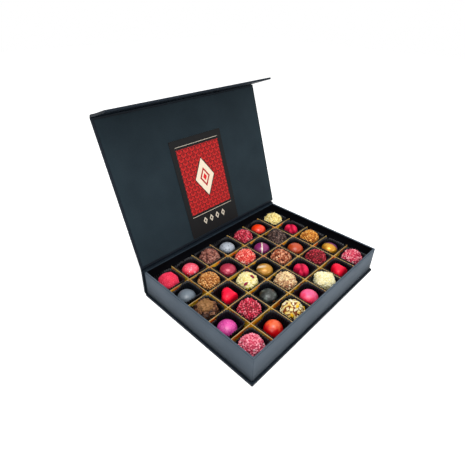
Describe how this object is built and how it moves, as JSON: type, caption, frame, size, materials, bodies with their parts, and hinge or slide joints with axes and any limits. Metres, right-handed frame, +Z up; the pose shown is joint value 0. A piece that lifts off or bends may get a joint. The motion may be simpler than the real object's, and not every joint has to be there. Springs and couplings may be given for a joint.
{
  "type": "chocolate gift box",
  "caption": "Rigid book-style gift box standing open, with a folding magnetic flap and a gold card grid that holds chocolates in fluted paper cups.",
  "frame": {"origin": "on the base panel's underside, below the middle of the tray", "axes": "+X along the hinge to the right of someone facing the open box, +Y towards the hinge, +Z up"},
  "size_m": [0.298, 0.2819, 0.2668],
  "materials": {
    "almond_shard_truffle": "rolled coat, matt",
    "amber_speckle_dome": "polished cocoa butter",
    "black_paper": "waxed, semi-gloss",
    "blue_satin_dome": "polished cocoa butter",
    "bronze_swirl_dome": "polished cocoa butter",
    "caramel_crumble_truffle": "rolled coat, matt",
    "caramel_nut_truffle": "rolled coat, matt",
    "case_wrap": "fine satin",
    "cherry_lips": "polished cocoa butter",
    "copper_flake_truffle": "rolled coat, matt",
    "coral_crumble_truffle": "rolled coat, matt",
    "dark_flake_truffle": "rolled coat, matt",
    "dark_marble_dome": "polished cocoa butter",
    "dark_raspberry_truffle": "rolled coat, matt",
    "gold_card": "gold foil, glossy",
    "gold_violet_dome": "polished cocoa butter",
    "liner_paper": "matt uncoated",
    "magenta_crackle_dome": "polished cocoa butter",
    "milk_curl_truffle": "rolled coat, matt",
    "milk_flake_truffle": "rolled coat, matt",
    "orange_gloss_dome": "polished cocoa butter",
    "orange_thimble": "polished cocoa butter",
    "picture_card": "satin print",
    "pink_crumble_truffle": "rolled coat, matt",
    "pink_gloss_dome": "polished cocoa butter",
    "pink_white_crumble_truffle": "rolled coat, matt",
    "pink_white_flake_truffle": "rolled coat, matt",
    "raspberry_crumble_truffle": "rolled coat, matt",
    "raspberry_dust_truffle": "rolled coat, matt",
    "red_heart": "polished cocoa butter",
    "ruby_pearl_dome": "polished cocoa butter",
    "silver_speckle_dome": "polished cocoa butter",
    "steel_disc": "plated",
    "strawberry_gloss_dome": "polished cocoa butter",
    "tray_wrap": "matt soft-touch",
    "violet_stripe_dome": "polished cocoa butter",
    "white_berry_truffle": "rolled coat, matt",
    "white_curl_truffle": "rolled coat, matt",
    "white_flake_truffle": "rolled coat, matt"
  },
  "bodies": {
    "box": {"base_panel": "case_wrap", "floor_lining_with_cups": "black_paper", "foot_hinge_paper": "case_wrap", "keeper_plate_left": "steel_disc", "keeper_plate_right": "steel_disc", "lid_hinge_paper": "case_wrap", "long_divider_1": "gold_card", "long_divider_2": "gold_card", "long_divider_3": "gold_card", "long_divider_4": "gold_card", "short_divider_1": "gold_card", "short_divider_2": "gold_card", "short_divider_3": "gold_card", "short_divider_4": "gold_card", "short_divider_5": "gold_card", "short_divider_6": "gold_card", "spine_panel": "case_wrap", "tray": "tray_wrap"},
    "lid": {"lid_panel": "case_wrap", "lid_liner": "liner_paper", "picture_card": "picture_card", "flap_hinge_paper": "case_wrap"},
    "flap": {"flap_panel": "case_wrap", "flap_magnet_left": "steel_disc", "flap_magnet_right": "steel_disc"},
    "a1_raspberry_dust_truffle": {"a1_raspberry_dust_truffle": "raspberry_dust_truffle"},
    "a2_strawberry_gloss_dome": {"a2_strawberry_gloss_dome": "strawberry_gloss_dome"},
    "a3_milk_flake_truffle": {"a3_milk_flake_truffle": "milk_flake_truffle"},
    "a4_silver_speckle_dome": {"a4_silver_speckle_dome": "silver_speckle_dome"},
    "a5_raspberry_crumble_truffle": {"a5_raspberry_crumble_truffle": "raspberry_crumble_truffle"},
    "a6_orange_gloss_dome": {"a6_orange_gloss_dome": "orange_gloss_dome"},
    "a7_white_flake_truffle": {"a7_white_flake_truffle": "white_flake_truffle"},
    "b1_blue_satin_dome": {"b1_blue_satin_dome": "blue_satin_dome"},
    "b2_caramel_crumble_truffle": {"b2_caramel_crumble_truffle": "caramel_crumble_truffle"},
    "b3_ruby_pearl_dome": {"b3_ruby_pearl_dome": "ruby_pearl_dome"},
    "b4_coral_crumble_truffle": {"b4_coral_crumble_truffle": "coral_crumble_truffle"},
    "b5_violet_stripe_dome": {"b5_violet_stripe_dome": "violet_stripe_dome"},
    "b6_dark_flake_truffle": {"b6_dark_flake_truffle": "dark_flake_truffle"},
    "b7_cherry_lips": {"b7_cherry_lips": "cherry_lips"},
    "c1_milk_curl_truffle": {"c1_milk_curl_truffle": "milk_curl_truffle"},
    "c2_red_heart": {"c2_red_heart": "red_heart"},
    "c3_white_berry_truffle": {"c3_white_berry_truffle": "white_berry_truffle"},
    "c4_bronze_swirl_dome": {"c4_bronze_swirl_dome": "bronze_swirl_dome"},
    "c5_copper_flake_truffle": {"c5_copper_flake_truffle": "copper_flake_truffle"},
    "c6_amber_speckle_dome": {"c6_amber_speckle_dome": "amber_speckle_dome"},
    "c7_caramel_nut_truffle": {"c7_caramel_nut_truffle": "caramel_nut_truffle"},
    "d1_magenta_crackle_dome": {"d1_magenta_crackle_dome": "magenta_crackle_dome"},
    "d2_raspberry_crumble_truffle": {"d2_raspberry_crumble_truffle": "raspberry_crumble_truffle"},
    "d3_dark_marble_dome": {"d3_dark_marble_dome": "dark_marble_dome"},
    "d4_pink_white_flake_truffle": {"d4_pink_white_flake_truffle": "pink_white_flake_truffle"},
    "d5_cherry_lips": {"d5_cherry_lips": "cherry_lips"},
    "d6_dark_raspberry_truffle": {"d6_dark_raspberry_truffle": "dark_raspberry_truffle"},
    "d7_gold_violet_dome": {"d7_gold_violet_dome": "gold_violet_dome"},
    "e1_pink_crumble_truffle": {"e1_pink_crumble_truffle": "pink_crumble_truffle"},
    "e2_orange_thimble": {"e2_orange_thimble": "orange_thimble"},
    "e3_almond_shard_truffle": {"e3_almond_shard_truffle": "almond_shard_truffle"},
    "e4_pink_gloss_dome": {"e4_pink_gloss_dome": "pink_gloss_dome"},
    "e5_white_curl_truffle": {"e5_white_curl_truffle": "white_curl_truffle"},
    "e6_red_heart": {"e6_red_heart": "red_heart"},
    "e7_pink_white_crumble_truffle": {"e7_pink_white_crumble_truffle": "pink_white_crumble_truffle"}
  },
  "joints": [
    {"name": "lid_hinge", "type": "hinge", "parent": "box", "child": "lid", "pos_m": [0, 0.10675, 0.0482], "axis": [-1, 0, 0], "range_deg": [-108, 72], "deforming": ["lid_hinge_paper"]},
    {"name": "flap_hinge", "type": "hinge", "parent": "lid", "child": "flap", "pos_m": [0, 0.17282, 0.25154], "axis": [-1, 0, 0], "range_deg": [-1, 89], "deforming": ["flap_hinge_paper"]},
    {"name": "lift_a1", "type": "slide", "parent": "box", "child": "a1_raspberry_dust_truffle", "axis": [0, 0, 1], "range_m": [0, 0.045]},
    {"name": "lift_a2", "type": "slide", "parent": "box", "child": "a2_strawberry_gloss_dome", "axis": [0, 0, 1], "range_m": [0, 0.045]},
    {"name": "lift_a3", "type": "slide", "parent": "box", "child": "a3_milk_flake_truffle", "axis": [0, 0, 1], "range_m": [0, 0.045]},
    {"name": "lift_a4", "type": "slide", "parent": "box", "child": "a4_silver_speckle_dome", "axis": [0, 0, 1], "range_m": [0, 0.045]},
    {"name": "lift_a5", "type": "slide", "parent": "box", "child": "a5_raspberry_crumble_truffle", "axis": [0, 0, 1], "range_m": [0, 0.045]},
    {"name": "lift_a6", "type": "slide", "parent": "box", "child": "a6_orange_gloss_dome", "axis": [0, 0, 1], "range_m": [0, 0.045]},
    {"name": "lift_a7", "type": "slide", "parent": "box", "child": "a7_white_flake_truffle", "axis": [0, 0, 1], "range_m": [0, 0.045]},
    {"name": "lift_b1", "type": "slide", "parent": "box", "child": "b1_blue_satin_dome", "axis": [0, 0, 1], "range_m": [0, 0.045]},
    {"name": "lift_b2", "type": "slide", "parent": "box", "child": "b2_caramel_crumble_truffle", "axis": [0, 0, 1], "range_m": [0, 0.045]},
    {"name": "lift_b3", "type": "slide", "parent": "box", "child": "b3_ruby_pearl_dome", "axis": [0, 0, 1], "range_m": [0, 0.045]},
    {"name": "lift_b4", "type": "slide", "parent": "box", "child": "b4_coral_crumble_truffle", "axis": [0, 0, 1], "range_m": [0, 0.045]},
    {"name": "lift_b5", "type": "slide", "parent": "box", "child": "b5_violet_stripe_dome", "axis": [0, 0, 1], "range_m": [0, 0.045]},
    {"name": "lift_b6", "type": "slide", "parent": "box", "child": "b6_dark_flake_truffle", "axis": [0, 0, 1], "range_m": [0, 0.045]},
    {"name": "lift_b7", "type": "slide", "parent": "box", "child": "b7_cherry_lips", "axis": [0, 0, 1], "range_m": [0, 0.045]},
    {"name": "lift_c1", "type": "slide", "parent": "box", "child": "c1_milk_curl_truffle", "axis": [0, 0, 1], "range_m": [0, 0.045]},
    {"name": "lift_c2", "type": "slide", "parent": "box", "child": "c2_red_heart", "axis": [0, 0, 1], "range_m": [0, 0.045]},
    {"name": "lift_c3", "type": "slide", "parent": "box", "child": "c3_white_berry_truffle", "axis": [0, 0, 1], "range_m": [0, 0.045]},
    {"name": "lift_c4", "type": "slide", "parent": "box", "child": "c4_bronze_swirl_dome", "axis": [0, 0, 1], "range_m": [0, 0.045]},
    {"name": "lift_c5", "type": "slide", "parent": "box", "child": "c5_copper_flake_truffle", "axis": [0, 0, 1], "range_m": [0, 0.045]},
    {"name": "lift_c6", "type": "slide", "parent": "box", "child": "c6_amber_speckle_dome", "axis": [0, 0, 1], "range_m": [0, 0.045]},
    {"name": "lift_c7", "type": "slide", "parent": "box", "child": "c7_caramel_nut_truffle", "axis": [0, 0, 1], "range_m": [0, 0.045]},
    {"name": "lift_d1", "type": "slide", "parent": "box", "child": "d1_magenta_crackle_dome", "axis": [0, 0, 1], "range_m": [0, 0.045]},
    {"name": "lift_d2", "type": "slide", "parent": "box", "child": "d2_raspberry_crumble_truffle", "axis": [0, 0, 1], "range_m": [0, 0.045]},
    {"name": "lift_d3", "type": "slide", "parent": "box", "child": "d3_dark_marble_dome", "axis": [0, 0, 1], "range_m": [0, 0.045]},
    {"name": "lift_d4", "type": "slide", "parent": "box", "child": "d4_pink_white_flake_truffle", "axis": [0, 0, 1], "range_m": [0, 0.045]},
    {"name": "lift_d5", "type": "slide", "parent": "box", "child": "d5_cherry_lips", "axis": [0, 0, 1], "range_m": [0, 0.045]},
    {"name": "lift_d6", "type": "slide", "parent": "box", "child": "d6_dark_raspberry_truffle", "axis": [0, 0, 1], "range_m": [0, 0.045]},
    {"name": "lift_d7", "type": "slide", "parent": "box", "child": "d7_gold_violet_dome", "axis": [0, 0, 1], "range_m": [0, 0.045]},
    {"name": "lift_e1", "type": "slide", "parent": "box", "child": "e1_pink_crumble_truffle", "axis": [0, 0, 1], "range_m": [0, 0.045]},
    {"name": "lift_e2", "type": "slide", "parent": "box", "child": "e2_orange_thimble", "axis": [0, 0, 1], "range_m": [0, 0.045]},
    {"name": "lift_e3", "type": "slide", "parent": "box", "child": "e3_almond_shard_truffle", "axis": [0, 0, 1], "range_m": [0, 0.045]},
    {"name": "lift_e4", "type": "slide", "parent": "box", "child": "e4_pink_gloss_dome", "axis": [0, 0, 1], "range_m": [0, 0.045]},
    {"name": "lift_e5", "type": "slide", "parent": "box", "child": "e5_white_curl_truffle", "axis": [0, 0, 1], "range_m": [0, 0.045]},
    {"name": "lift_e6", "type": "slide", "parent": "box", "child": "e6_red_heart", "axis": [0, 0, 1], "range_m": [0, 0.045]},
    {"name": "lift_e7", "type": "slide", "parent": "box", "child": "e7_pink_white_crumble_truffle", "axis": [0, 0, 1], "range_m": [0, 0.045]}
  ]
}
